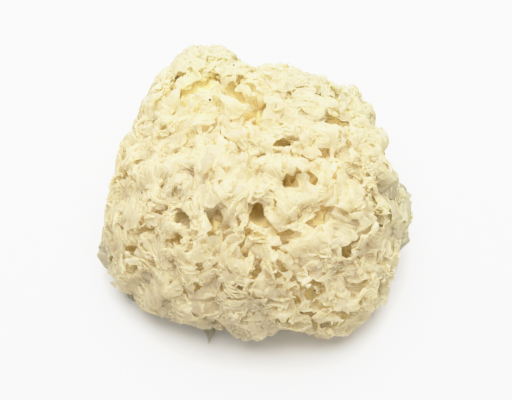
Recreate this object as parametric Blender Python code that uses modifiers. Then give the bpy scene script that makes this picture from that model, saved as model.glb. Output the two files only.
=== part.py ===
"""Snow fungus, dried: one clump of ruffled fronds that grew together from a single foot, which was cut flat.

Lengths are in metres, with +Z up. The origin is the middle of the cut foot, on the surface that the clump rests on.
"""

import math

import bmesh
import bpy
import numpy as np
from mathutils.bvhtree import BVHTree

# The clump is a squared dome round its heart, at the height where it is widest
HEART_HEIGHT = 0.020
REACH_ACROSS = 0.058
REACH_DEEP = 0.057
REACH_UP = 0.042
REACH_DOWN = 0.026
SQUARENESS = 2.3

# Where the clump swells past that dome, or sinks below it, as seen from the heart:
# bearing and elevation in degrees, extra reach, and how wide the swell is in degrees
SWELLS = (
    (118, 22, 0.0100, 20),
    (150, 10, 0.0010, 20),
    (94, 34, -0.0035, 8),
    (45, 12, 0.0020, 20),
    (352, 3, 0.0060, 7),
    (340, 0, 0.0030, 13),
    (308, -8, 0.0115, 21),
    (270, -8, 0.0035, 24),
    (235, -8, 0.0040, 16),
    (208, -8, 0.0105, 20),
)

# The fronds stand on a solid heart and spread to the clump's outside
FROND_COUNT = 130
LOWEST_FROND = -42.0  # elevation in degrees
FROND_LENGTH = 0.017
FROND_HALF_WIDTH = 0.0125
FROND_THICKNESS = 0.0024
FROND_CELLS = (14, 6)
RUFFLE_HEIGHT = 0.0042
RUFFLE_WAVES = (1.3, 2.3)
LEAN = 0.45
HEART_DEPTH = 0.0115
SEED = 12

# The foot, and how finely the fused clump is meshed
FOOT_RADIUS = 0.026
FOOT_HEIGHT = 0.016
FOOT_TAPER = 0.8
FOOT_SUNK = 0.002
FUSE_STEP = 0.00115
SLIT_CLOSING = 0.0005
FACES_KEPT = 9000
UNTANGLE_ROUNDS = 12
FOOT_LEVELLING = 0.0002
CREAM = (0.86, 0.75, 0.50, 1.0)
GOLDEN_TURN = math.pi * (3 - math.sqrt(5))


def direction(bearing, elevation):
    """Unit vector for a bearing, counter-clockwise from +X, and an elevation, both in radians."""
    flat = math.cos(elevation)
    return np.array([math.cos(bearing) * flat, math.sin(bearing) * flat, math.sin(elevation)])


def reach(way):
    """How far the clump goes from its heart along the unit vector way."""
    up_or_down = REACH_UP if way[2] > 0 else REACH_DOWN
    flat = math.hypot(way[0] / REACH_ACROSS, way[1] / REACH_DEEP)
    distance = (flat**SQUARENESS + abs(way[2] / up_or_down) ** SQUARENESS) ** (-1 / SQUARENESS)
    for bearing, elevation, extra, spread in SWELLS:
        middle = direction(math.radians(bearing), math.radians(elevation))
        off = math.degrees(math.acos(max(-1.0, min(1.0, float(way @ middle)))))
        distance += extra * math.exp(-((off / spread) ** 2))
    return distance


def outside(way):
    """The point of the clump's outside that lies along way from the heart."""
    return np.array([0, 0, HEART_HEIGHT]) + way * reach(way)


def outward(way):
    """The outside's normal there, from two short steps along the surface."""
    step = 0.05
    side = np.cross([0, 0, 1], way)
    side = side / max(np.linalg.norm(side), 1e-6)
    rise = np.cross(way, side)
    across = outside(_unit(way + side * step)) - outside(_unit(way - side * step))
    along = outside(_unit(way + rise * step)) - outside(_unit(way - rise * step))
    return _unit(np.cross(across, along))


def _unit(vector):
    return vector / np.linalg.norm(vector)


def frond_plans():
    """For each frond: its tip, the way it grows, its width's way, its face's way, and its own numbers."""
    rng = np.random.default_rng(SEED)
    lowest = math.sin(math.radians(LOWEST_FROND))
    plans = []
    for k in range(FROND_COUNT):
        height = 1 - (k + 0.5) / FROND_COUNT * (1 - lowest)
        jitter = rng.normal(0, 0.05, 3)
        way = _unit(direction(k * GOLDEN_TURN, math.asin(height)) + jitter)
        normal = outward(way)
        turn = rng.uniform(0, 2 * math.pi)
        side = _unit(np.cross(normal, direction(turn, 0.3)))
        face = np.cross(normal, side)
        grows = _unit(normal + face * rng.normal(0, LEAN))
        plans.append(
            {
                "tip": outside(way) - normal * rng.uniform(0.0, 0.0025),
                "grows": grows,
                "side": side,
                "face": _unit(np.cross(grows, side)),
                "waves": rng.uniform(*RUFFLE_WAVES),
                "phase": rng.uniform(0, 2 * math.pi),
                "curl": rng.normal(0, 0.0035),
                "size": rng.uniform(0.8, 1.2),
            }
        )
    return plans


def frond_point(plan, across, along):
    """A point of a frond: across runs from -1 to 1 over its width, along from 0 at its root to 1 at its margin."""
    swing = plan["waves"] * math.pi * across + plan["phase"]
    opens = 0.45 + 0.55 * along
    width = FROND_HALF_WIDTH * plan["size"] * (across * opens - 0.16 * along**2 * math.sin(2 * swing))
    ruffle = RUFFLE_HEIGHT * along**1.3 * math.sin(swing)
    rounding = 1 - 0.22 * across**2 - 0.06 * math.cos(3 * swing)
    back = FROND_LENGTH * (along * rounding - 1)
    lift = ruffle + plan["curl"] * along**2
    return plan["tip"] + plan["side"] * width + plan["face"] * lift + plan["grows"] * back


def add_frond(bm, plan):
    """One open ruffled sheet."""
    columns, rows = FROND_CELLS
    made = bmesh.ops.create_grid(bm, x_segments=columns, y_segments=rows, size=1.0)
    for vert in made["verts"]:
        vert.co = frond_point(plan, vert.co.x, (vert.co.y + 1) / 2)


def object_from(bm, name, collection):
    mesh = bpy.data.meshes.new(name)
    bm.to_mesh(mesh)
    bm.free()
    made = bpy.data.objects.new(name, mesh)
    collection.objects.link(made)
    return made


def evaluated_mesh(obj):
    """The object's mesh with its modifiers applied."""
    graph = bpy.context.evaluated_depsgraph_get()
    return bpy.data.meshes.new_from_object(obj.evaluated_get(graph))


def frond_sheets(collection):
    """All the fronds as one object of thick sheets that pass through each other."""
    bm = bmesh.new()
    for plan in frond_plans():
        add_frond(bm, plan)
    sheets = object_from(bm, "frond_sheets", collection)
    thick = sheets.modifiers.new("thickness", "SOLIDIFY")
    thick.thickness = FROND_THICKNESS
    thick.offset = 0
    thick.use_even_offset = False
    return sheets


def add_heart(bm):
    """The dense tissue that the fronds stand on, as a ball drawn out to the clump's form."""
    made = bmesh.ops.create_icosphere(bm, subdivisions=4, radius=1.0)
    for vert in made["verts"]:
        way = _unit(np.array(vert.co))
        vert.co = np.array([0, 0, HEART_HEIGHT]) + way * (reach(way) - HEART_DEPTH)


def add_foot(bm):
    """The short stump that was cut from the log."""
    made = bmesh.ops.create_cone(
        bm,
        cap_ends=True,
        segments=40,
        radius1=FOOT_RADIUS,
        radius2=FOOT_RADIUS * FOOT_TAPER,
        depth=FOOT_HEIGHT,
    )
    for vert in made["verts"]:
        vert.co.z += FOOT_HEIGHT / 2 - FOOT_SUNK


def add_fusing(obj):
    """Joins what overlaps into one skin, then closes the narrowest slits in it."""
    for name, swell in (("fuse", SLIT_CLOSING), ("fuse_again", -SLIT_CLOSING)):
        fuse = obj.modifiers.new(name, "REMESH")
        fuse.mode = "VOXEL"
        fuse.voxel_size = FUSE_STEP
        moved = obj.modifiers.new(name + "_offset", "DISPLACE")
        moved.strength = swell
        moved.mid_level = 0


def keep_largest_shell(bm):
    """Deletes the air bubbles that the fused fronds close in, and the crumbs that the cut sets loose."""
    left = set(bm.verts)
    shells = []
    while left:
        stack = [left.pop()]
        shell = set(stack)
        while stack:
            for edge in stack.pop().link_edges:
                for vert in edge.verts:
                    if vert in left:
                        left.remove(vert)
                        shell.add(vert)
                        stack.append(vert)
        shells.append(shell)
    largest = max(shells, key=len)
    bmesh.ops.delete(bm, geom=[v for v in bm.verts if v not in largest], context="VERTS")


def cut_foot(bm):
    """Cuts the clump off flat at the height of the surface that it rests on."""
    cut = bmesh.ops.bisect_plane(
        bm,
        geom=bm.verts[:] + bm.edges[:] + bm.faces[:],
        plane_co=(0, 0, 0),
        plane_no=(0, 0, 1),
        clear_inner=True,
    )
    rim = [piece for piece in cut["geom_cut"] if isinstance(piece, bmesh.types.BMEdge)]
    bmesh.ops.holes_fill(bm, edges=rim)


def thin_out(obj):
    """Merges the fused clump's faces, most where it is flattest."""
    fewer = obj.modifiers.new("fewer_faces", "DECIMATE")
    fewer.ratio = FACES_KEPT / (2 * len(obj.data.polygons))
    obj.data = evaluated_mesh(obj)
    obj.modifiers.remove(fewer)


def crossing_verts(bm):
    """The corners of faces that pass through another face."""
    tree = BVHTree.FromBMesh(bm)
    bm.faces.ensure_lookup_table()
    found = set()
    for one, other in tree.overlap(tree):
        corners = set(bm.faces[one].verts)
        if one < other and not corners & set(bm.faces[other].verts):
            found |= corners | set(bm.faces[other].verts)
    return found


def untangle(mesh):
    """Eases apart the few faces that thinning out pushed through each other, and levels the foot."""
    bm = bmesh.new()
    bm.from_mesh(mesh)
    bmesh.ops.triangulate(bm, faces=bm.faces[:])
    for _ in range(UNTANGLE_ROUNDS):
        tangled = crossing_verts(bm)
        if not tangled:
            break
        near = tangled | {edge.other_vert(vert) for vert in tangled for edge in vert.link_edges}
        bmesh.ops.smooth_vert(
            bm,
            verts=list(near),
            factor=0.5,
            use_axis_x=True,
            use_axis_y=True,
            use_axis_z=True,
        )
    for vert in bm.verts:
        if vert.co.z < FOOT_LEVELLING:
            vert.co.z = 0
    bm.to_mesh(mesh)
    bm.free()


def cream_tissue():
    material = bpy.data.materials.new("dried_tissue")
    material.use_nodes = True
    shader = material.node_tree.nodes["Principled BSDF"]
    shader.inputs["Base Color"].default_value = CREAM
    shader.inputs["Roughness"].default_value = 0.6
    shader.inputs["Metallic"].default_value = 0.0
    return material


def main():
    for old in list(bpy.data.objects):
        bpy.data.objects.remove(old)
    parts = bpy.data.collections.new("snow_fungus")
    bpy.context.scene.collection.children.link(parts)

    sheets = frond_sheets(parts)
    bm = bmesh.new()
    bm.from_mesh(evaluated_mesh(sheets))
    add_heart(bm)
    add_foot(bm)
    bpy.data.objects.remove(sheets)

    clump = object_from(bm, "snow_fungus", parts)
    add_fusing(clump)
    bm = bmesh.new()
    bm.from_mesh(evaluated_mesh(clump))
    keep_largest_shell(bm)
    cut_foot(bm)
    keep_largest_shell(bm)
    clump.modifiers.clear()
    bm.to_mesh(clump.data)
    bm.free()
    thin_out(clump)
    untangle(clump.data)
    clump.data.materials.clear()
    clump.data.materials.append(cream_tissue())


main()
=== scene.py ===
"""Dried snow fungus: the finish of the head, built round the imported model. In metres, +Z is up."""

import math

import bmesh
import bpy
import numpy as np
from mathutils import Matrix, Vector


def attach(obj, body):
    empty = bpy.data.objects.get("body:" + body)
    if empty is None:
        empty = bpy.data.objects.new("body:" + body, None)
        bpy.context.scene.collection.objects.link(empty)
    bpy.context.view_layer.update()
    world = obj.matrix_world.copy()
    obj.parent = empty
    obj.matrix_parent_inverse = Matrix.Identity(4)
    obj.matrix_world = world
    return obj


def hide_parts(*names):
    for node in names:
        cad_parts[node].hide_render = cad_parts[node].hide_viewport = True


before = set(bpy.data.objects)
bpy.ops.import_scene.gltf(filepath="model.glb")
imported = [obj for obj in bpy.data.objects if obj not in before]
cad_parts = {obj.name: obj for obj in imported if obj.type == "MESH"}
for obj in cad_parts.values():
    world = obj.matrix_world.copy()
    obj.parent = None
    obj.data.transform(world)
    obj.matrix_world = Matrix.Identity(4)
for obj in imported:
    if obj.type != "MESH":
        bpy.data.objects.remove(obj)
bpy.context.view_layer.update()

# Heart and cut foot
# The head is a squared dome, swollen and dented where its fronds had more or less room. They stand on a dense
# heart of the same tissue, which dries hard, golden and puckered. Its foot was cut flat from the log that it
# grew on, and the head rests on that cut.
HEART_HEIGHT = 0.020
REACH_ACROSS = 0.058
REACH_DEEP = 0.057
REACH_UP = 0.042
REACH_DOWN = 0.026
SQUARENESS = 2.3
SWELLS = (  # bearing and elevation in degrees, extra reach, spread in degrees
    (118, 22, 0.0115, 19),
    (152, 8, -0.0012, 16),
    (92, 20, -0.0100, 6.5),
    (92, 34, -0.0080, 6.5),
    (76, 28, -0.0012, 9),
    (62, 18, -0.0020, 13),
    (40, 10, 0.0038, 14),
    (26, 5, -0.0078, 8),
    (8, 2, -0.0112, 7),
    (9, 17, -0.0060, 7),
    (342, 0, 0.0050, 13),
    (326, -8, -0.0028, 9),
    (308, -8, 0.0125, 20),
    (286, -12, -0.0026, 9),
    (270, -8, 0.0035, 24),
    (235, -8, 0.0040, 16),
    (208, -8, 0.0100, 20),
)
HEART = np.array([0.0, 0.0, HEART_HEIGHT])
NORMAL_STEP = 0.05  # radians round the head
LEAST_LENGTH = 1e-12
LEAST_SINE = 1e-6
HEART_UNDER_FRONDS = 0.0085
HEART_FINENESS = 7
PUCKERS = (  # waves, fewest and most radians of wave for each radian round the head, height
    (24, (14, 30), 0.0014),
    (24, (40, 75), 0.0008),
    (24, (100, 160), 0.0003),
)
PUCKER_LIFT = 0.6
PUCKER_SEED = 20
FOOT_RADIUS = 0.026
FOOT_RAGGED = 0.0012
FOOT_WAVES = 12
FOOT_ROUNDS = (6, 24)
FOOT_SEED = 30
PITS = (  # bearing and elevation in degrees, radius
    (107, 65, 0.0040),
    (92, 78, 0.0024),
    (342, 74, 0.0018),
    (306, 61, 0.0020),
    (321, 55, 0.0018),
    (228, 38, 0.0022),
    (243, 46, 0.0022),
    (270, 49, 0.0032),
    (309, 40, 0.0020),
    (309, 24, 0.0020),
    (232, 31, 0.0020),
    (270, 27, 0.0018),
)
PIT_DEPTH = 0.0015  # and its radius more
PIT_WIDENING = 1.35
PIT_EDGE = 4  # the higher, the steeper its side
# The heart's own gold, darkened with painted shade where it shows between the fronds; amber in its wrinkles'
# valleys, partly painted shade.
HEART_GOLD_AND_SHADE = (0.86, 0.77, 0.48, 1)
HEART_AMBER_AND_SHADE = (0.78, 0.66, 0.34, 1)
# Painted shade: the heart's gold turns darker amber the deeper its pits sink.
PIT_SHADE_AMBER = (0.66, 0.52, 0.20, 1)
CUT_BROWN = (0.55, 0.36, 0.16, 1)
CUT_HEIGHTS = (0.0, 0.004)
HEART_ROUGHNESS = 0.5
HEART_GRAIN = (260.0, 260.0, 260.0)  # wrinkles in a metre
HEART_BUMP = 0.0006
WRINKLE_DETAIL = 4.0


def unit(vectors):
    return vectors / np.maximum(np.linalg.norm(vectors, axis=-1, keepdims=True), LEAST_LENGTH)


def ways_at(bearing, elevation):
    """Unit vectors for bearings and elevations in radians."""
    flat = np.cos(elevation)
    return np.stack([np.cos(bearing) * flat, np.sin(bearing) * flat, np.sin(elevation)], -1)


def way_to(bearing, elevation):
    return ways_at(np.radians(bearing), np.radians(elevation))


def reach(way):
    """How far the head goes from its heart along each unit vector."""
    up_or_down = np.where(way[..., 2] > 0, REACH_UP, REACH_DOWN)
    flat = np.hypot(way[..., 0] / REACH_ACROSS, way[..., 1] / REACH_DEEP)
    distance = (flat**SQUARENESS + np.abs(way[..., 2] / up_or_down) ** SQUARENESS) ** (-1 / SQUARENESS)
    for bearing, elevation, extra, spread in SWELLS:
        off = np.degrees(np.arccos(np.clip(way @ way_to(bearing, elevation), -1, 1)))
        distance = distance + extra * np.exp(-((off / spread) ** 2))
    return distance


def waves(way, seed, count, rounds):
    """Random waves over the head, about -2 to 2, with the given radians of wave for each radian round it."""
    rng = np.random.default_rng(seed)
    total = np.zeros(way.shape[:-1])
    for _ in range(count):
        travel = way @ (unit(rng.normal(0, 1, 3)) * rng.uniform(*rounds))
        total += np.cos(travel + rng.uniform(0, 2 * math.pi))
    return total / math.sqrt(count / 2)


def outside(way):
    return HEART + way * reach(way)[..., None]


def outward(way):
    """The outline's normal there, from two short steps along it."""
    side = unit(np.cross([0.0, 0.0, 1.0], way))
    rise = np.cross(way, side)
    across = outside(unit(way + side * NORMAL_STEP)) - outside(unit(way - side * NORMAL_STEP))
    along = outside(unit(way + rise * NORMAL_STEP)) - outside(unit(way - rise * NORMAL_STEP))
    return unit(np.cross(across, along))


def link(tree, start, end):
    tree.links.new(start, end)


def value_node(tree, name):
    node = tree.nodes.new("ShaderNodeAttribute")
    node.attribute_name = name
    return node.outputs["Fac"]


def mapped(tree, value, low, high):
    node = tree.nodes.new("ShaderNodeMapRange")
    link(tree, value, node.inputs["Value"])
    node.inputs["From Min"].default_value = low
    node.inputs["From Max"].default_value = high
    return node.outputs["Result"]


def colour_mix(tree, share, one, other):
    node = tree.nodes.new("ShaderNodeMix")
    node.data_type = "RGBA"
    link(tree, share, node.inputs[0])
    for socket, colour in ((node.inputs[6], one), (node.inputs[7], other)):
        if isinstance(colour, tuple):
            socket.default_value = colour
        else:
            link(tree, colour, socket)
    return node.outputs[2]


def scaled(tree, vector, scale):
    node = tree.nodes.new("ShaderNodeVectorMath")
    node.operation = "MULTIPLY"
    node.inputs[1].default_value = scale
    link(tree, vector, node.inputs[0])
    return node.outputs["Vector"]


def wrinkles_over(tree, vector):
    node = tree.nodes.new("ShaderNodeGroup")
    node.node_tree = dried_wrinkles
    link(tree, vector, node.inputs["Vector"])
    return node.outputs["Height"]


def bump(tree, height, distance):
    node = tree.nodes.new("ShaderNodeBump")
    node.inputs["Distance"].default_value = distance
    link(tree, height, node.inputs["Height"])
    return node.outputs["Normal"]


def wrinkle_group():
    """Fine dried wrinkles: a height from 0 to 1 over any vector that is measured in wrinkles."""
    group = bpy.data.node_groups.new("dried_wrinkles", "ShaderNodeTree")
    group.interface.new_socket("Vector", in_out="INPUT", socket_type="NodeSocketVector")
    group.interface.new_socket("Height", in_out="OUTPUT", socket_type="NodeSocketFloat")
    start = group.nodes.new("NodeGroupInput")
    end = group.nodes.new("NodeGroupOutput")
    folds = group.nodes.new("ShaderNodeTexNoise")
    folds.inputs["Scale"].default_value = 1.0
    folds.inputs["Detail"].default_value = WRINKLE_DETAIL
    link(group, start.outputs["Vector"], folds.inputs["Vector"])
    link(group, folds.outputs["Fac"], end.inputs["Height"])
    return group


def add_values(mesh, name, values):
    attribute = mesh.attributes.new(name, "FLOAT", "POINT")
    attribute.data.foreach_set("value", values.astype(np.float32).ravel())


def placed(name, mesh, material):
    mesh.materials.append(material)
    piece = bpy.data.objects.new(name, mesh)
    bpy.context.scene.collection.objects.link(piece)
    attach(piece, "root")
    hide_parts("snow_fungus")


def pit_depths(way):
    """How far the heart sinks at each unit vector, where it lies under a pit."""
    depth = np.zeros(len(way))
    for bearing, elevation, radius in PITS:
        middle = way_to(bearing, elevation)
        off = np.arccos(np.clip(way @ middle, -1, 1)) * reach(middle) / (PIT_WIDENING * radius)
        depth = np.maximum(depth, (PIT_DEPTH + radius) * np.exp(-(off**PIT_EDGE)))
    return depth


def heart_and_foot():
    bm = bmesh.new()
    bmesh.ops.create_icosphere(bm, subdivisions=HEART_FINENESS, radius=1.0)
    way = unit(np.array([vert.co[:] for vert in bm.verts]))
    pit = pit_depths(way)
    distance = reach(way) - HEART_UNDER_FRONDS - pit
    for seed, (count, rounds, height) in enumerate(PUCKERS):
        distance += height * (PUCKER_LIFT - np.abs(waves(way, seed + PUCKER_SEED, count, rounds)))
    down = np.maximum(-way[:, 2], LEAST_SINE)
    flat = np.maximum(np.hypot(way[:, 0], way[:, 1]), LEAST_SINE)
    radius = FOOT_RADIUS + FOOT_RAGGED * waves(way * [1, 1, 0], FOOT_SEED, FOOT_WAVES, FOOT_ROUNDS)
    distance = np.maximum(distance, np.minimum(HEART_HEIGHT / down, radius / flat) * (way[:, 2] < 0))
    points = HEART + way * distance[:, None]
    points[:, 2] = np.maximum(points[:, 2], 0.0)
    for vert, point in zip(bm.verts, points):
        vert.co = point
    mesh = bpy.data.meshes.new("heart_and_foot")
    bm.to_mesh(mesh)
    bm.free()
    mesh.shade_smooth()
    add_values(mesh, "height", points[:, 2])
    add_values(mesh, "pit", pit)
    return mesh


def golden_heart():
    material = bpy.data.materials.new("golden_heart")
    material.use_nodes = True
    tree = material.node_tree
    surface = tree.nodes["Principled BSDF"]
    surface.inputs["Roughness"].default_value = HEART_ROUGHNESS
    place = tree.nodes.new("ShaderNodeTexCoord").outputs["Object"]
    wrinkles = wrinkles_over(tree, scaled(tree, place, HEART_GRAIN))
    # Gold, with amber painted as shade in the wrinkles' valleys.
    colour = colour_mix(tree, wrinkles, HEART_AMBER_AND_SHADE, HEART_GOLD_AND_SHADE)
    # Painted shade: darker amber the deeper a pit sinks.
    colour = colour_mix(tree, mapped(tree, value_node(tree, "pit"), 0, 2 * PIT_DEPTH), colour, PIT_SHADE_AMBER)
    colour = colour_mix(tree, mapped(tree, value_node(tree, "height"), *CUT_HEIGHTS), CUT_BROWN, colour)
    link(tree, colour, surface.inputs["Base Color"])
    link(tree, bump(tree, wrinkles, HEART_BUMP), surface.inputs["Normal"])
    return material


dried_wrinkles = wrinkle_group()
placed("heart_and_foot", heart_and_foot(), golden_heart())

# Fronds as they grew
# Each frond is a thin sheet of tissue, rooted in the heart and wider at its margin than a flat sheet has room
# for. It grew, buckled into ruffles, dried crumpled between its neighbours and puckered, so the sheets do the
# same here, inside the head's lumpy outline.
LUMP_HEIGHT = 0.0014
LUMP_WAVES = 28
LUMPS_ROUND = (14, 36)  # radians of wave for each radian round the head
OUTLINE_SEED = 3
OUTLINE_STEPS = (361, 181)  # a degree each, by bearing and by elevation
FROND_COUNT = 205
LOWEST_FROND = -42.0  # elevation in degrees
NEAREST_CROWN = 1.55  # elevation in radians
PLACING_STEPS = (72, 200)  # by bearing and by elevation
LEAST_SLOPE = 0.3
FROND_JITTER = 0.025
SIDE_RISE = 0.3
LEANS = (0.9, 1.8)  # how far a frond lies over, for each unit it stands up
FROND_LENGTH = 0.0175
FROND_HALF_WIDTH = 0.0135
FROND_SIZES = (0.7, 1.3)
TIP_DROP = 0.002
ROOT_WIDTH = 0.45  # of the margin's
MARGIN_GROWTH = (1.3, 2.4)
GROWTH_BEND = 1.5  # the higher, the nearer to the margin the width grows
LENGTH_GROWTH = 1.4
PATCHY_GROWTH = 0.38
PATCH_CELLS = (4, 9)
MARGIN_LOBES = (  # height, fewest and most half-waves
    (0.07, 2.0, 3.5),
    (0.06, 4.0, 7.0),
    (0.05, 8.0, 12.0),
)
FIRST_RUFFLES = (1.3, 2.6)
FIRST_RUFFLE_HEIGHT = 0.003
RUFFLE_BEND = 1.3
RUFFLE_SWAY = 0.16
CORNER_ROUNDING = 0.2
SHAKE = 0.0001
FROND_SEED = 5
GROWTH_SEED = 6
GOLDEN_TURN = math.pi * (3 - math.sqrt(5))
GROWTH_STAGES = (  # columns, rows, rounds, how far sheets keep apart, room past the outline at first and last
    (29, 9, 110, 0.0011, 1.15, 1.15),
    (59, 16, 50, 0.00085, 1.15, 1.0),
    (117, 28, 16, 0.0, 1.0, 1.0),
)
PUCKERS_ACROSS = (4, 40)
PUCKERS_ALONG = (12, 10)
PUCKER_SHRINK = 0.5
PUCKER_GROWTH = 1.15
FROND_DEPTH = 0.009
MOMENTUM = 0.8
STRETCH_HOLD = 0.9
SHEAR_HOLD = 0.35
FOLD_HOLD_ACROSS = 0.04
FOLD_HOLD_ALONG = 0.08
STRETCH_TURNS = 2
SPREADING = 0.00011
ROOM = 0.0025
CROWDED = 0.5  # of the densest cube
STAND_UP = 0.5
OUTLINE_PRESS = 0.5
PUSH_APART = 0.35
GROWN_BY = 0.6  # of the rounds
CLOSED_BY = 0.8  # of the rounds
ROOT_ROWS = 2
ROOT_HOLD = 0.5
LOWEST_TISSUE = 0.0004
PAIRS_EVERY = 6
PAIR_REACH = 1.3
CLOSE_IN_SHEET = 2
LEAST_GAP = np.float32(1e-9)
BOX_LOW = np.array([-0.085, -0.085, -0.005], np.float32)
BOX_SIZE = np.array([0.170, 0.170, 0.095])
PIT_NEAR = 0.022
PIT_PUSH = 0.3
PIT_SLANT = 0.45
PIT_SLANT_RISE = 0.6
PIT_SIDE = (0.6, 0.8, 0.0)
PIT_LOBES = (  # height, waves round the pit, how far they turn from one pit to the next
    (0.32, 2, 0),
    (0.20, 3, 2),
    (0.12, 7, 0),
)


def resample(points, axis, count):
    """Cubic resampling of points along an axis."""
    last = points.shape[axis] - 1
    place = np.linspace(0, last, count)
    start = np.clip(np.floor(place).astype(int), 0, last - 1)
    shape = [1] * points.ndim
    shape[axis] = count
    f = (place - start).reshape(shape)
    a, b, c, d = (np.take(points, np.clip(start + k, 0, last), axis=axis) for k in (-1, 0, 1, 2))
    slope, curve, twist = c - a, 2 * a - 5 * b + 4 * c - d, 3 * b - a - 3 * c + d
    return 0.5 * (2 * b + slope * f + curve * f**2 + twist * f**3)


def soft_noise(rng, cells, shape):
    """Smooth random height for each sheet of a shape of sheets, rows and columns."""
    coarse = rng.normal(0, 1, (shape[0], *cells))
    return resample(resample(coarse, 1, shape[1]), 2, shape[2])


class Reach:
    """The lumpy outline's reach by bearing and elevation, looked up from a table."""

    def __init__(self):
        self.steps = OUTLINE_STEPS
        bearing = np.linspace(-math.pi, math.pi, self.steps[0])
        elevation = np.linspace(-math.pi / 2, math.pi / 2, self.steps[1])
        way = ways_at(*np.meshgrid(bearing, elevation, indexing="ij"))
        lumps = LUMP_HEIGHT * waves(way, OUTLINE_SEED, LUMP_WAVES, LUMPS_ROUND)
        self.table = (reach(way) + lumps).astype(np.float32)

    def __call__(self, way):
        turn = (np.arctan2(way[..., 1], way[..., 0]) + math.pi) / (2 * math.pi) * (self.steps[0] - 1)
        tilt = (np.arcsin(np.clip(way[..., 2], -1, 1)) + math.pi / 2) / math.pi * (self.steps[1] - 1)
        i = np.clip(turn.astype(np.int32), 0, self.steps[0] - 2)
        j = np.clip(tilt.astype(np.int32), 0, self.steps[1] - 2)
        x, y = turn - i, tilt - j
        low = self.table[i, j] * (1 - x) + self.table[i + 1, j] * x
        high = self.table[i, j + 1] * (1 - x) + self.table[i + 1, j + 1] * x
        return low * (1 - y) + high * y


def cells_of(points, size):
    """The number of the small cube that each point is in, and how many cubes there are each way."""
    counts = (BOX_SIZE // size + 3).astype(np.int64)
    cell = np.floor((points - BOX_LOW) / size).astype(np.int64) + 1
    cell = np.clip(cell, 1, counts - 2)
    return (cell[:, 0] * counts[1] + cell[:, 1]) * counts[2] + cell[:, 2], counts


def near_pairs(points, size, frond, row, column):
    """Pairs of points nearer than size that aren't close neighbours in one sheet."""
    flat, counts = cells_of(points, size)
    order = np.argsort(flat, kind="stable")
    in_order = flat[order]
    start = np.zeros(int(np.prod(counts)) + 1, np.int64)
    start[1:] = np.cumsum(np.bincount(flat, minlength=int(np.prod(counts))))
    around = (-1, 0, 1)
    steps = [(dx * counts[1] + dy) * counts[2] + dz for dx in around for dy in around for dz in around]
    index = np.arange(len(points))
    ranges = [(index + 1, start[in_order + 1])]
    ranges += [(start[in_order + step], start[in_order + step + 1]) for step in steps if step > 0]
    sorted_points = points[order]
    ones, others = [], []
    for low, high in ranges:
        count = np.maximum(high - low, 0)
        first = np.repeat(index, count)
        place = np.arange(count.sum()) - np.repeat(np.cumsum(count) - count, count) + np.repeat(low, count)
        gap = sorted_points[first] - sorted_points[place]
        near = np.einsum("ij,ij->i", gap, gap) < size * size
        ones.append(order[first[near]])
        others.append(order[place[near]])
    one, other = np.concatenate(ones), np.concatenate(others)
    apart = frond[one] != frond[other]
    for line in (row, column):
        apart |= abs(line[one] - line[other]) > CLOSE_IN_SHEET
    return one[apart], other[apart]


def pull(a, b, rest, hold):
    """Moves points a and b, in place, towards being rest apart."""
    gap = b - a
    length = np.sqrt(np.einsum("...k,...k->...", gap, gap)) + LEAST_GAP
    gap *= ((length - rest) / length * np.float32(0.5 * hold))[..., None]
    a += gap
    b -= gap


def unfold(points, hold, axis):
    """Resists sharp folds along an axis of the sheets, in place."""
    p = np.moveaxis(points, axis, 0)
    bend = (p[:-2] - 2 * p[1:-1] + p[2:]) * np.float32(hold)
    p[1:-1] += 0.5 * bend
    p[:-2] -= 0.25 * bend
    p[2:] -= 0.25 * bend


def crowding(points, shape):
    """Which way the sheets get denser, at each point."""
    flat, counts = cells_of(points, ROOM)
    dense = np.bincount(flat, minlength=int(np.prod(counts))).reshape(counts).astype(np.float32)
    for axis in range(3):
        dense = 0.5 * dense + 0.25 * (np.roll(dense, 1, axis) + np.roll(dense, -1, axis))
    slopes = np.gradient(dense / (dense.max() * CROWDED))
    return np.stack([slope.ravel()[flat] for slope in slopes], -1).reshape(shape)


def push_apart(points, pairs, keep):
    """Moves points of unlike sheets, in place, until they are a sheet's thickness and some air apart."""
    one, other = pairs
    gap = points[other] - points[one]
    length = np.sqrt(np.einsum("ij,ij->i", gap, gap)) + LEAST_GAP
    close = length < keep
    one, other, gap, length = one[close], other[close], gap[close], length[close]
    gap *= ((keep - length) / length * np.float32(PUSH_APART))[:, None]
    for axis in range(3):
        moved = np.bincount(other, gap[:, axis], len(points)) - np.bincount(one, gap[:, axis], len(points))
        points[:, axis] += moved.astype(np.float32)


def open_pits(sheets):
    """Moves fronds, in place, out of each ragged, slanting pit, to the side that they stand on."""
    middles = sheets.mean((1, 2))
    for number, (bearing, elevation, radius) in enumerate(PITS):
        way = way_to(bearing, elevation)
        mouth = outside(way).astype(np.float32)
        slant = ways_at(np.float64(number * GOLDEN_TURN), np.float64(PIT_SLANT_RISE)) * PIT_SLANT
        axis = unit(outward(way) + slant).astype(np.float32)
        across = unit(np.cross(axis, PIT_SIDE)).astype(np.float32)
        near = np.flatnonzero(np.einsum("ik,ik->i", middles - mouth, middles - mouth) < PIT_NEAR**2)
        beside = sheets[near] - mouth
        beside -= (beside @ axis)[..., None] * axis
        distance = np.sqrt(np.einsum("...k,...k->...", beside, beside))
        turn = np.arctan2(beside @ np.cross(axis, across), beside @ across) + number
        ragged = 1
        for height, count, shift in PIT_LOBES:
            ragged = ragged + height * np.cos(count * turn + shift * number)
        to_side = unit(beside.mean((1, 2)))[:, None, None]
        push = np.maximum(radius * ragged - distance, 0) * np.float32(PIT_PUSH)
        sheets[near] += to_side * push[..., None]


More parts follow.
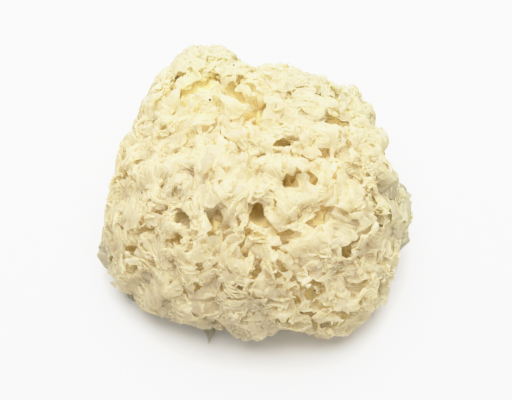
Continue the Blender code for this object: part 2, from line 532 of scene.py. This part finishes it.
def relax(sheets, rounds, narrow, wide, long, outline, keep, swells):
    """Lets the sheets grow from narrow to wide while they press on each other, the heart and the outline."""
    count, rows, columns, _ = sheets.shape
    frond = np.repeat(np.arange(count), rows * columns)
    row = np.tile(np.repeat(np.arange(rows), columns), count)
    column = np.tile(np.arange(columns), count * rows)
    along = np.linspace(0, 1, rows, dtype=np.float32)[None, :, None, None]
    heart = HEART.astype(np.float32)
    roots = sheets[:, :ROOT_ROWS].copy()
    before = sheets.copy()
    points = sheets.reshape(-1, 3)
    for step in range(rounds):
        grown = np.float32(min(1.0, (step + 1) / (GROWN_BY * rounds)))
        width = narrow + (wide - narrow) * grown
        swell = swells[0] + (swells[1] - swells[0]) * min(1.0, (step + 1) / (CLOSED_BY * rounds))
        now = sheets.copy()
        sheets += (sheets - before) * np.float32(MOMENTUM)
        before = now
        for _ in range(STRETCH_TURNS):
            for odd in (0, 1):
                pull(sheets[:, :, odd:-1:2], sheets[:, :, odd + 1 :: 2], width[:, :, odd::2], STRETCH_HOLD)
                pull(sheets[:, odd:-1:2], sheets[:, odd + 1 :: 2], long[:, odd::2], STRETCH_HOLD)
        mean_width, mean_long = 0.5 * (width[:, :-1] + width[:, 1:]), 0.5 * (long[:, :, 1:] + long[:, :, :-1])
        diagonal = np.hypot(mean_width, mean_long)
        for odd in (0, 1):
            here, there = slice(odd, rows - 1, 2), slice(odd + 1, rows, 2)
            pull(sheets[:, here, :-1], sheets[:, there, 1:], diagonal[:, here], SHEAR_HOLD)
            pull(sheets[:, here, 1:], sheets[:, there, :-1], diagonal[:, here], SHEAR_HOLD)
        unfold(sheets, FOLD_HOLD_ACROSS, 2)
        unfold(sheets, FOLD_HOLD_ALONG, 1)
        if keep:
            sheets -= crowding(points, sheets.shape) * along * np.float32(SPREADING)
            if step % PAIRS_EVERY == 0:
                pairs = near_pairs(points, keep * PAIR_REACH, frond, row, column)
            push_apart(points, pairs, keep)
        spoke = sheets - heart
        distance = np.sqrt(np.einsum("...k,...k->...", spoke, spoke)) + LEAST_GAP
        spoke /= distance[..., None]
        limit = outline(spoke)
        outwards = np.maximum(limit - FROND_DEPTH - distance, 0) * STAND_UP
        inwards = np.maximum(distance - limit * swell, 0) * OUTLINE_PRESS
        sheets += spoke * (outwards - inwards)[..., None].astype(np.float32)
        open_pits(sheets)
        np.maximum(sheets[..., 2], np.float32(LOWEST_TISSUE), out=sheets[..., 2])
        sheets[:, :ROOT_ROWS] += (roots - sheets[:, :ROOT_ROWS]) * np.float32(ROOT_HOLD)
    return sheets


def frond_ways(rng):
    """The way from the heart to each frond, spread evenly over the outline's own area."""
    elevation = np.linspace(math.pi / 2, math.radians(LOWEST_FROND), PLACING_STEPS[1])
    bearing = np.linspace(0, 2 * math.pi, PLACING_STEPS[0], endpoint=False)
    way = ways_at(*np.meshgrid(bearing, np.minimum(elevation, NEAREST_CROWN), indexing="ij"))
    slope = np.maximum(np.einsum("...k,...k->...", way, outward(way)), LEAST_SLOPE)
    area = np.cumsum((reach(way) ** 2 / slope).mean(0) * np.cos(elevation))
    each = np.arange(FROND_COUNT)
    share = (each + 0.5) / FROND_COUNT
    tilt = np.interp(share, (area - area[0]) / (area[-1] - area[0]), elevation)
    return unit(ways_at(each * GOLDEN_TURN, tilt) + rng.normal(0, FROND_JITTER, (FROND_COUNT, 3)))


def grow_fronds():
    """The middle surface of every frond, as rows from root to margin of points across."""
    rng = np.random.default_rng(FROND_SEED)
    way = frond_ways(rng)
    normal = outward(way)
    turn = rng.uniform(0, 2 * math.pi, FROND_COUNT)
    side = unit(np.cross(normal, ways_at(turn, np.full(FROND_COUNT, SIDE_RISE))))
    lean = np.sign(rng.normal(0, 1, (FROND_COUNT, 1))) * rng.uniform(*LEANS, (FROND_COUNT, 1))
    grows = unit(normal + np.cross(normal, side) * lean)
    face = unit(np.cross(grows, side))
    tip = outside(way) - normal * rng.uniform(0, TIP_DROP, (FROND_COUNT, 1))

    def drawn(low, high):
        return rng.uniform(low, high, FROND_COUNT)[:, None, None]

    size = drawn(*FROND_SIZES)
    growth = drawn(*MARGIN_GROWTH)
    ruffles, phase = drawn(*FIRST_RUFFLES), drawn(0, 2 * math.pi)
    lobes = [(tall, drawn(fewest, most), drawn(0, 2 * math.pi)) for tall, fewest, most in MARGIN_LOBES]
    outline = Reach()
    sheets = None
    for columns, rows, rounds, keep, *swells in GROWTH_STAGES:
        patches = np.random.default_rng(GROWTH_SEED)
        shape = (FROND_COUNT, rows, columns)
        t, s = np.meshgrid(np.linspace(0, 1, rows), np.linspace(-1, 1, columns), indexing="ij")
        opening = ROOT_WIDTH + (1 - ROOT_WIDTH) * t
        narrow = 2 * FROND_HALF_WIDTH * size * opening / (columns - 1)
        wide = narrow * (1 + growth * t**GROWTH_BEND)
        wide = wide * np.exp(PATCHY_GROWTH * soft_noise(patches, PATCH_CELLS, shape))
        margin = 1 - CORNER_ROUNDING * s**2 + sum(h * np.cos(s * math.pi * n + p) for h, n, p in lobes)
        long = FROND_LENGTH * LENGTH_GROWTH * np.sqrt(size) * margin / (rows - 1)
        long = long * np.exp(PATCHY_GROWTH * t * soft_noise(patches, PATCH_CELLS, shape))
        if sheets is None:
            swing = ruffles * math.pi * s + phase
            spread = FROND_HALF_WIDTH * size * (s * opening - RUFFLE_SWAY * t**2 * np.sin(2 * swing))
            lift = FIRST_RUFFLE_HEIGHT * t**RUFFLE_BEND * np.sin(swing)
            back = FROND_LENGTH * (t * (1 - CORNER_ROUNDING * s**2) - 1) * np.ones_like(size)
            axes = ((side, spread), (face, lift), (grows, back))
            sheets = tip[:, None, None] + sum(v[:, None, None] * a[..., None] for v, a in axes)
        else:
            sheets = resample(resample(sheets, 1, rows), 2, columns)
            narrow = wide
        if not keep:
            wide = wide * np.exp(PUCKER_SHRINK * soft_noise(patches, PUCKERS_ACROSS, shape)) * PUCKER_GROWTH
            long = long * np.exp(PUCKER_SHRINK * soft_noise(patches, PUCKERS_ALONG, shape)) * PUCKER_GROWTH
        sheets = sheets + patches.normal(0, SHAKE, sheets.shape) * t[..., None]
        narrow, wide = (0.5 * (w[:, :, 1:] + w[:, :, :-1]).astype(np.float32) for w in (narrow, wide))
        long = (0.5 * (long[:, 1:] + long[:, :-1])).astype(np.float32)
        sheets = np.ascontiguousarray(sheets, np.float32)
        sheets = relax(sheets, rounds, narrow, wide, long, outline, keep, swells)
    return sheets


# Frond tiers
# The sheets join into five tiers, from the crown down to the foot. Dried tissue is matt, papery and thinner
# than a third of a millimetre: cream at its torn and pleated margins, gold deep down, partly its own tint
# and partly painted shade, and light passes through all of it. Its colour also holds painted light: painted
# highlight on the ridges of its folds and painted shade in their valleys, painted shade that greys it low
# round the head's foot and at its right side, and a paler greenish tint painted where light shines through
# its thin back edges and right side.
TIERS = ("crown_fronds", "shoulder_fronds", "waist_fronds", "skirt_fronds", "underside_fronds")
SHEET_COLUMNS = 101
SHEET_ROWS = 22
HIDDEN_ROOT = 0.15  # of the length, inside the heart
ROWS_BUNCHING = 0.85
FINISH_SEED = 7
TEAR_FINENESS = 8
TEAR_CELLS = (17, 31)
SMALL_TEARS = 0.7
TEAR_DEPTH = 0.06
DEEPEST_TEAR = 0.4
PLEAT_WIDTH = 0.0022
PLEAT_HEIGHT = 0.00045
PLEAT_WANDERS = ((1.3, (2, 7)), (0.5, (3, 16)))  # how far, cells along and across
PLEAT_STRENGTH = 0.7
PLEAT_VARIES = 0.5
PLEAT_MOST = 1.6
PLEAT_CELLS = (3, 9)
CRINKLE_HEIGHT = 0.00018
CRINKLE_CELLS = ((4, 30), (6, 50))
SMALL_CRINKLES = 0.6
CREASE_ANGLE = 40.0  # in degrees: sharper folds are creases
MAP_GUTTER = 0.04
MARGIN_CREAM = (0.985, 0.951, 0.84, 1)
BODY_CREAM = (0.98, 0.943, 0.80, 1)
# Gold deeper under the outline: partly the tissue's own tint, partly painted shade in its recesses.
FOLD_GOLD_AND_SHADE = (0.975, 0.923, 0.70, 1)
DEEP_GOLD_AND_SHADE = (0.94, 0.855, 0.54, 1)
LIGHT_THROUGH = (0.98, 0.943, 0.795, 1)
GOLD_AND_SHADE_THROUGH = (0.95, 0.865, 0.61, 1)
# Painted highlight on the ridges of folds and painted shade in their valleys.
RIDGE_HIGHLIGHT_CREAM = (0.985, 0.960, 0.88, 1)
HOLLOW_SHADE_GOLD = (0.962, 0.91, 0.71, 1)
FOLD_SPAN = 0.0007
FLAT = 0.5  # neither a ridge, 0, nor a hollow, 1
# Painted shade: the greyer colour on the tissue low round the head's foot and at its right side.
SHADE_GREY_TISSUE = (0.64, 0.61, 0.48, 1)
# Painted light: a paler greenish tint where light shines through the thin back edges and right side.
BACKLIT_TISSUE = (0.945, 0.935, 0.82, 1)
SHARE_THROUGH = 0.71
TISSUE_ROUGHNESS = 0.55
MARGIN_BEGINS = 0.55
# How deep that gold and painted shade begin and end.
GOLD_DEPTHS = (0.004, 0.011)
DEEP_DEPTHS = (0.008, 0.014)
# Where that painted shade lies, and how strong it is on a frond.
SHADED_SIDES = (  # bearing, elevation, spread
    (352, 2, 20),
    (205, -8, 24),
    (235, -20, 26),
    (270, -20, 28),
    (305, -20, 24),
)
DEEPEST_SIDE_SHADE = 0.11
# Where that painted light lies, and how strong it is on a frond.
BACKLIT_SIDES = (
    (115, 34, 24),
    (45, 28, 28),
    (352, 2, 26),
)
MOST_BACKLIGHT = 0.6
WRINKLES = (900.0, 250.0, 1.0)  # in a metre of margin and of length
WRINKLE_BUMP = 0.0003


def sheet_normals(sheets):
    return unit(np.cross(np.gradient(sheets, axis=2), np.gradient(sheets, axis=1)))


def lengths_along(sheets, axis):
    """How far each point is from the first one, measured in the sheet."""
    step = np.linalg.norm(np.diff(sheets, axis=axis), axis=-1)
    pad = [(0, 0)] * (sheets.ndim - 1)
    pad[axis] = (1, 0)
    return np.pad(np.cumsum(step, axis=axis), pad)


def torn_sheets(sheets, places, rng):
    """The sheets at the wanted rows, with each column cut off a little short of its margin or more."""
    fine = resample(resample(sheets, 2, SHEET_COLUMNS), 1, TEAR_FINENESS * (sheets.shape[1] - 1) + 1)
    coarse = [rng.normal(0, 1, (len(sheets), cells)) for cells in TEAR_CELLS]
    large, small = (np.abs(resample(tears, 1, SHEET_COLUMNS)) for tears in coarse)
    cut = np.clip(TEAR_DEPTH * (large + SMALL_TEARS * small), 0, DEEPEST_TEAR)[:, None]
    place = places[:, None] * (1 - cut * places[:, None] ** 2) * (fine.shape[1] - 1)
    return np.take_along_axis(fine, np.rint(place).astype(int)[..., None], axis=1)


def fan_places(sheets):
    """How far along the margin, from its middle, each point's line from root to margin ends."""
    fan = lengths_along(sheets[:, -1:], 2)
    return (fan - fan[:, :, sheets.shape[2] // 2][:, :, None]) * np.ones((1, sheets.shape[1], 1))


def pleated(sheets, places, rng):
    """The sheets with narrow pleats that fan out from the root, and fine crinkles."""
    shape = sheets.shape[:3]
    fan = fan_places(sheets)
    turn = sum(far * soft_noise(rng, cells, shape) for far, cells in PLEAT_WANDERS)
    crossing = fan / PLEAT_WIDTH + turn + rng.uniform(0, 1, (shape[0], 1, 1))
    strength = np.clip(PLEAT_STRENGTH + PLEAT_VARIES * soft_noise(rng, PLEAT_CELLS, shape), 0, PLEAT_MOST)
    height = PLEAT_HEIGHT * strength * (1 - 2 * np.abs(np.sin(math.pi * crossing)))
    large, small = (soft_noise(rng, cells, shape) for cells in CRINKLE_CELLS)
    height += CRINKLE_HEIGHT * (large + SMALL_CRINKLES * small)
    return sheets + sheet_normals(sheets) * (height * places[:, None])[..., None]


def fold_shading(sheets):
    """From 0 along a fold's ridge to 1 in its valley, as seen from outside the head: where painted highlight
    and painted shade go.
    """
    outwards = unit(sheets - HEART)
    bend = np.zeros(sheets.shape)
    bend[:, :, 1:-1] += sheets[:, :, 2:] + sheets[:, :, :-2] - 2 * sheets[:, :, 1:-1]
    bend[:, 1:-1] += 0.5 * (sheets[:, 2:] + sheets[:, :-2] - 2 * sheets[:, 1:-1])
    return np.clip(FLAT + np.einsum("...k,...k->...", bend, outwards) / FOLD_SPAN, 0, 1)


def nearness(points, sides):
    """From 0 to 1, how near each point is to the nearest of some sides of the head."""
    way = unit(points - HEART)
    off = [np.degrees(np.arccos(np.clip(way @ way_to(b, e), -1, 1))) / spread for b, e, spread in sides]
    return np.exp(-np.min(off, axis=0) ** 2)


def triangles_of(sheets):
    """Each cell of the sheets as two triangles, cut along its shorter diagonal."""
    count, rows, columns, _ = sheets.shape
    index = np.arange(count * rows * columns).reshape(count, rows, columns)
    quads = np.stack([index[:, :-1, :-1], index[:, :-1, 1:], index[:, 1:, 1:], index[:, 1:, :-1]], -1)
    quads = quads.reshape(-1, 4)
    corner = sheets.reshape(-1, 3)[quads]
    one_way = np.linalg.norm(corner[:, 0] - corner[:, 2], axis=-1)
    other_way = np.linalg.norm(corner[:, 1] - corner[:, 3], axis=-1)
    cut_one, cut_other = quads[:, [0, 1, 2, 0, 2, 3]], quads[:, [0, 1, 3, 1, 2, 3]]
    return np.where((one_way < other_way)[:, None], cut_one, cut_other).reshape(-1, 3)


def mesh_from(name, points, faces):
    mesh = bpy.data.meshes.new(name)
    mesh.vertices.add(len(points))
    mesh.vertices.foreach_set("co", np.ascontiguousarray(points, np.float32).ravel())
    mesh.loops.add(faces.size)
    mesh.loops.foreach_set("vertex_index", faces.astype(np.int32).ravel())
    mesh.polygons.add(len(faces))
    mesh.polygons.foreach_set("loop_start", np.arange(0, faces.size, faces.shape[1], dtype=np.int32))
    mesh.polygons.foreach_set("use_smooth", np.ones(len(faces), bool))
    mesh.update()
    return mesh


def sheet_mesh(name, sheets, values):
    """One mesh of many sheets, with values by point and a map that gives each sheet a square cell."""
    count, rows, columns, _ = sheets.shape
    mesh = mesh_from(name, sheets.reshape(-1, 3), triangles_of(sheets))
    for value, numbers in values.items():
        add_values(mesh, value, np.broadcast_to(numbers, sheets.shape[:3]))
    side = math.ceil(math.sqrt(count))
    cell = np.arange(count)[:, None, None]
    across = MAP_GUTTER + (1 - 2 * MAP_GUTTER) * np.linspace(0, 1, columns)
    along = MAP_GUTTER + (1 - 2 * MAP_GUTTER) * np.linspace(0, 1, rows)[:, None]
    u = np.broadcast_to(cell % side + across, sheets.shape[:3])
    v = np.broadcast_to(cell // side + along, sheets.shape[:3])
    uv = np.stack([u, v], -1).reshape(-1, 2) / side
    loops = np.zeros(len(mesh.loops), np.int32)
    mesh.loops.foreach_get("vertex_index", loops)
    mesh.uv_layers.new(name="OFBake").data.foreach_set("uv", uv[loops].astype(np.float32).ravel())
    mesh.set_sharp_from_angle(angle=math.radians(CREASE_ANGLE))
    return mesh


def tissue_finish():
    material = bpy.data.materials.new("dried_tissue")
    material.use_nodes = True
    tree = material.node_tree
    tree.nodes.clear()
    depth = value_node(tree, "depth")
    gold_and_shade = mapped(tree, depth, *GOLD_DEPTHS)
    backlight_tint = value_node(tree, "backlight_tint")
    side_shade = value_node(tree, "side_shade")
    fold_shade = value_node(tree, "fold_shade")
    margin = mapped(tree, value_node(tree, "along"), MARGIN_BEGINS, 1.0)
    colour = colour_mix(tree, margin, BODY_CREAM, MARGIN_CREAM)
    # Painted highlight on the ridges of folds, painted shade in their valleys.
    colour = colour_mix(tree, mapped(tree, fold_shade, FLAT, 0.0), colour, RIDGE_HIGHLIGHT_CREAM)
    colour = colour_mix(tree, mapped(tree, fold_shade, FLAT, 1.0), colour, HOLLOW_SHADE_GOLD)
    # Painted shade: greyer tissue low round the head's foot and at its right side.
    colour = colour_mix(tree, side_shade, colour, SHADE_GREY_TISSUE)
    # Painted light: the paler greenish tint where light shines through the thin back edges.
    colour = colour_mix(tree, backlight_tint, colour, BACKLIT_TISSUE)
    # Gold deeper under the outline, partly own tint and partly painted shade in the recesses.
    colour = colour_mix(tree, gold_and_shade, colour, FOLD_GOLD_AND_SHADE)
    colour = colour_mix(tree, mapped(tree, depth, *DEEP_DEPTHS), colour, DEEP_GOLD_AND_SHADE)
    surface = tree.nodes.new("ShaderNodeBsdfPrincipled")
    surface.inputs["Roughness"].default_value = TISSUE_ROUGHNESS
    link(tree, colour, surface.inputs["Base Color"])
    through = tree.nodes.new("ShaderNodeBsdfTranslucent")
    # The light through the tissue is greyed with the same painted shade.
    glow = colour_mix(tree, side_shade, LIGHT_THROUGH, SHADE_GREY_TISSUE)
    # The light through the tissue takes the same painted greenish tint there.
    glow = colour_mix(tree, backlight_tint, glow, BACKLIT_TISSUE)
    # The light through deep tissue turns gold, partly painted shade.
    link(tree, colour_mix(tree, gold_and_shade, glow, GOLD_AND_SHADE_THROUGH), through.inputs["Color"])
    place = tree.nodes.new("ShaderNodeCombineXYZ")
    link(tree, value_node(tree, "fan"), place.inputs["X"])
    link(tree, value_node(tree, "length"), place.inputs["Y"])
    wrinkles = wrinkles_over(tree, scaled(tree, place.outputs["Vector"], WRINKLES))
    normal = bump(tree, wrinkles, WRINKLE_BUMP)
    link(tree, normal, surface.inputs["Normal"])
    link(tree, normal, through.inputs["Normal"])
    both = tree.nodes.new("ShaderNodeMixShader")
    both.inputs[0].default_value = SHARE_THROUGH
    link(tree, surface.outputs[0], both.inputs[1])
    link(tree, through.outputs[0], both.inputs[2])
    output = tree.nodes.new("ShaderNodeOutputMaterial")
    link(tree, both.outputs[0], output.inputs["Surface"])
    return material


def tissue_values(sheets, places):
    """What the finish needs at each point: its places in the frond and in the head."""
    spokes = sheets - HEART
    return {
        "along": places[:, None],
        "fold_shade": fold_shading(sheets),
        "fan": fan_places(sheets) + np.arange(len(sheets))[:, None, None],
        "length": lengths_along(sheets, 1),
        "depth": reach(unit(spokes)) - np.linalg.norm(spokes, axis=-1),
        "side_shade": DEEPEST_SIDE_SHADE * nearness(sheets, SHADED_SIDES),
        "backlight_tint": MOST_BACKLIGHT * nearness(sheets, BACKLIT_SIDES),
    }


finish_rng = np.random.default_rng(FINISH_SEED)
row_places = HIDDEN_ROOT + (1 - HIDDEN_ROOT) * np.linspace(0, 1, SHEET_ROWS) ** ROWS_BUNCHING
fronds = pleated(torn_sheets(grow_fronds(), row_places, finish_rng), row_places, finish_rng)
fronds[..., 2] = np.maximum(fronds[..., 2], LOWEST_TISSUE)
dried_tissue = tissue_finish()
for tier, name in enumerate(TIERS):
    sheets = fronds[tier * FROND_COUNT // len(TIERS) : (tier + 1) * FROND_COUNT // len(TIERS)]
    placed(name, sheet_mesh(name, sheets, tissue_values(sheets, row_places)), dried_tissue)

# Loose flaps
# A few outer fronds dried flat and smooth round the edge of the head instead of crumpling, and one curled to
# a spike. They are the same tissue, thin and greyed with painted shade, and each is rooted under its
# neighbours.
LOOSE_FLAPS = (  # root's bearing and elevation, how deep it starts, turn from +X, length, half width, point
    (1, -6, 0.0045, 2, 0.0130, 0.0100, 0.3),  # the ear at the right
    (344, -6, 0.0065, -15, 0.0090, 0.0080, 0.2),
    (203, -1, 0.0065, 172, 0.0082, 0.0090, 0.3),
    (213, -12, 0.0075, 215, 0.0090, 0.0130, 0.05),
    (180, -4, 0.0060, 180, 0.0080, 0.0100, 0.1),
    (122, 14, 0.0060, 135, 0.0080, 0.0100, 0.2),
    (251, -14, 0.0020, -92, 0.0085, 0.0100, 0.9),  # the spike at the front
)
FLAP_FACE = (-90, 58)  # bearing and elevation that their flat sides look to
FLAP_ROWS = 24
FLAP_COLUMNS = 44
FLAP_ROUNDING = 0.35
POINTED_ROUNDING = 0.3  # more for a flap with a point
FLAP_SQUARENESS = 2.2
FLAP_ROOT_WIDTH = 0.6
FLAP_OPENING = 0.5
POINT_BEND = 1.2
FLAP_CUP = 0.0022  # how far their sides curl back
TIP_CURL = 0.6
FLAP_RUFFLES = ((3, 6, 0.0009), (6, 18, 0.00035))  # cells along and across, height
ROOT_RUFFLE = 0.3
FLAP_RAGGED = 0.05
RAGGED_CELLS = 9
# Painted shade: how far the flaps are greyed.
FLAP_SHADE = 0.85
FLAP_SEED = 8


def loose_flaps():
    rng = np.random.default_rng(FLAP_SEED)
    t, s = np.meshgrid(np.linspace(0, 1, FLAP_ROWS), np.linspace(-1, 1, FLAP_COLUMNS), indexing="ij")
    face = way_to(*FLAP_FACE)
    level = np.array([1.0, 0.0, 0.0])
    rising = np.cross(face, level)
    flaps = []
    for bearing, elevation, deep, turn, length, half_width, point in LOOSE_FLAPS:
        grows = level * math.cos(math.radians(turn)) + rising * math.sin(math.radians(turn))
        side = np.cross(face, grows)
        root = outside(way_to(bearing, elevation)) - grows * deep
        ragged = 1 + FLAP_RAGGED * resample(rng.normal(0, 1, (1, RAGGED_CELLS)), 1, FLAP_COLUMNS)
        rounding = (FLAP_ROUNDING + POINTED_ROUNDING * point) * np.abs(s) ** (FLAP_SQUARENESS - point)
        reached = length * t * (1 - rounding) * ragged
        opening = FLAP_ROOT_WIDTH + (1 - FLAP_ROOT_WIDTH) * t**FLAP_OPENING
        spread = half_width * s * opening * (1 - point * t**POINT_BEND)
        back = FLAP_CUP * (1 - point) * (s**2 + TIP_CURL * t**2)
        flaps.append(root + reached[..., None] * grows + spread[..., None] * side - back[..., None] * face)
    flaps = np.array(flaps)
    for *cells, height in FLAP_RUFFLES:
        ruffle = height * soft_noise(rng, cells, flaps.shape[:3]) * (ROOT_RUFFLE + (1 - ROOT_RUFFLE) * t)
        flaps = flaps + ruffle[..., None] * face
    flaps[..., 2] = np.maximum(flaps[..., 2], LOWEST_TISSUE)
    return flaps


flaps = loose_flaps()
flap_values = tissue_values(flaps, np.linspace(0, 1, FLAP_ROWS))
# The flaps are greyed all over with painted shade and get no depth gold or greenish tint.
for value, same in (("side_shade", FLAP_SHADE), ("depth", 0.0), ("backlight_tint", 0.0)):
    flap_values[value] = np.full(flaps.shape[:3], same)
placed("loose_flaps", sheet_mesh("loose_flaps", flaps, flap_values), dried_tissue)

# Bark specks
# A few dark crumbs of bark from the log are stuck to the outermost tissue.
# Bark is rough, brown and matt.
SPECKS = (  # bearing and elevation in degrees, size
    (135, 62, 0.0008),
    (103, 47, 0.0007),
    (293, 18, 0.0007),
    (20, 50, 0.0006),
    (200, 30, 0.0006),
)
SPECK_NEAR = 0.0016
SPECK_FINENESS = 2
SPECK_STRETCH = (0.6, 1.2)
SPECK_RAGGED = (0.85, 1.15)
SPECK_SEED = 9
BARK_BROWN = (0.16, 0.10, 0.05, 1)
BARK_DARK = (0.06, 0.035, 0.02, 1)
BARK_ROUGHNESS = 0.9
BARK_GRAIN = (4000.0, 4000.0, 4000.0)  # wrinkles in a metre
BARK_BUMP = 0.0002


def bark_specks():
    rng = np.random.default_rng(SPECK_SEED)
    tissue = fronds.reshape(-1, 3)
    height = np.linalg.norm(tissue - HEART, axis=1)
    bm = bmesh.new()
    for bearing, elevation, size in SPECKS:
        off = np.linalg.norm(np.cross(tissue - HEART, way_to(bearing, elevation)), axis=1)
        facing = (tissue - HEART) @ way_to(bearing, elevation) > 0
        seat = tissue[np.argmax(np.where((off < SPECK_NEAR) & facing, height, 0))]
        made = bmesh.ops.create_icosphere(bm, subdivisions=SPECK_FINENESS, radius=size / 2)
        shape = rng.uniform(*SPECK_STRETCH, 3)
        for vert in made["verts"]:
            vert.co = Vector(np.array(vert.co) * shape * rng.uniform(*SPECK_RAGGED) + seat)
    mesh = bpy.data.meshes.new("bark_specks")
    bm.to_mesh(mesh)
    bm.free()
    return mesh


def bark_finish():
    material = bpy.data.materials.new("dark_bark")
    material.use_nodes = True
    tree = material.node_tree
    surface = tree.nodes["Principled BSDF"]
    surface.inputs["Roughness"].default_value = BARK_ROUGHNESS
    place = tree.nodes.new("ShaderNodeTexCoord").outputs["Object"]
    grain = wrinkles_over(tree, scaled(tree, place, BARK_GRAIN))
    link(tree, colour_mix(tree, grain, BARK_DARK, BARK_BROWN), surface.inputs["Base Color"])
    link(tree, bump(tree, grain, BARK_BUMP), surface.inputs["Normal"])
    return material


placed("bark_specks", bark_specks(), bark_finish())

# Floor, light and camera
# A plain pale, matt floor lies under a wide soft light, which hangs above the head and a little behind it.
# The camera looks down at the photograph's angle, and its curve keeps the brightest tissue from whitening.
FLOOR_HALF = 1.5
FLOOR_ROUGHNESS = 0.9
FLOOR_COLOUR = (0.88, 0.88, 0.88, 1)
SKY_STRENGTH = 0.57
KEY_ENERGY = 14.0
KEY_SIZE = 1.1
KEY_PLACE = (-0.02, 0.23, 0.95)
TONES = (  # a camera's curve, brightness in and out
    (0, 0),
    (0.25, 0.235),
    (0.45, 0.445),
    (0.60, 0.625),
    (0.75, 0.765),
    (0.90, 0.865),
    (1.10, 0.950),
    (1.40, 1.0),
)
LENS = 70.0
NEAREST_SEEN = 0.01
CAMERA_DISTANCE = 0.400
CAMERA_ELEVATION = 58.0
AIM = Vector((0.0, -0.004, 0.022))
LIGHT_BOUNCES = 24  # light is scattered many times between thin sheets

bm = bmesh.new()
bmesh.ops.create_grid(bm, x_segments=1, y_segments=1, size=FLOOR_HALF)
floor_mesh = bpy.data.meshes.new("floor")
bm.to_mesh(floor_mesh)
bm.free()
floor = bpy.data.objects.new("floor", floor_mesh)
bpy.context.scene.collection.objects.link(floor)
floor_paint = bpy.data.materials.new("pale_floor")
floor_paint.use_nodes = True
floor_surface = floor_paint.node_tree.nodes["Principled BSDF"]
floor_surface.inputs["Base Color"].default_value = FLOOR_COLOUR
floor_surface.inputs["Roughness"].default_value = FLOOR_ROUGHNESS
floor_mesh.materials.append(floor_paint)

sky = bpy.data.worlds.new("studio")
sky.use_nodes = True
sky_light = sky.node_tree.nodes["Background"]
sky_light.inputs["Color"].default_value = (1, 1, 1, 1)
sky_light.inputs["Strength"].default_value = SKY_STRENGTH
bpy.context.scene.world = sky

key = bpy.data.lights.new("soft_box", "AREA")
key.energy = KEY_ENERGY
key.size = KEY_SIZE
soft_box = bpy.data.objects.new("soft_box", key)
bpy.context.scene.collection.objects.link(soft_box)
soft_box.location = KEY_PLACE
soft_box.rotation_mode = "QUATERNION"
soft_box.rotation_quaternion = (AIM - Vector(KEY_PLACE)).to_track_quat("-Z", "Y")

elevation = math.radians(CAMERA_ELEVATION)
backwards = Vector((0.0, -math.cos(elevation), math.sin(elevation)))
camera = bpy.data.objects.new("camera", bpy.data.cameras.new("camera"))
bpy.context.scene.collection.objects.link(camera)
camera.data.lens = LENS
camera.data.clip_start = NEAREST_SEEN
camera.location = AIM + backwards * CAMERA_DISTANCE
camera.rotation_mode = "QUATERNION"
camera.rotation_quaternion = (-backwards).to_track_quat("-Z", "Y")
bpy.context.scene.camera = camera
view = bpy.context.scene.view_settings
view.view_transform = "Standard"
view.use_curve_mapping = True
view.curve_mapping.use_clip = False
tones = view.curve_mapping.curves[3].points
tones[0].location, tones[1].location = TONES[0], TONES[-1]
for tone in TONES[1:-1]:
    tones.new(*tone)
view.curve_mapping.update()
bpy.context.scene.cycles.max_bounces = LIGHT_BOUNCES
bpy.context.scene.cycles.diffuse_bounces = LIGHT_BOUNCES
bpy.context.scene.cycles.transmission_bounces = LIGHT_BOUNCES
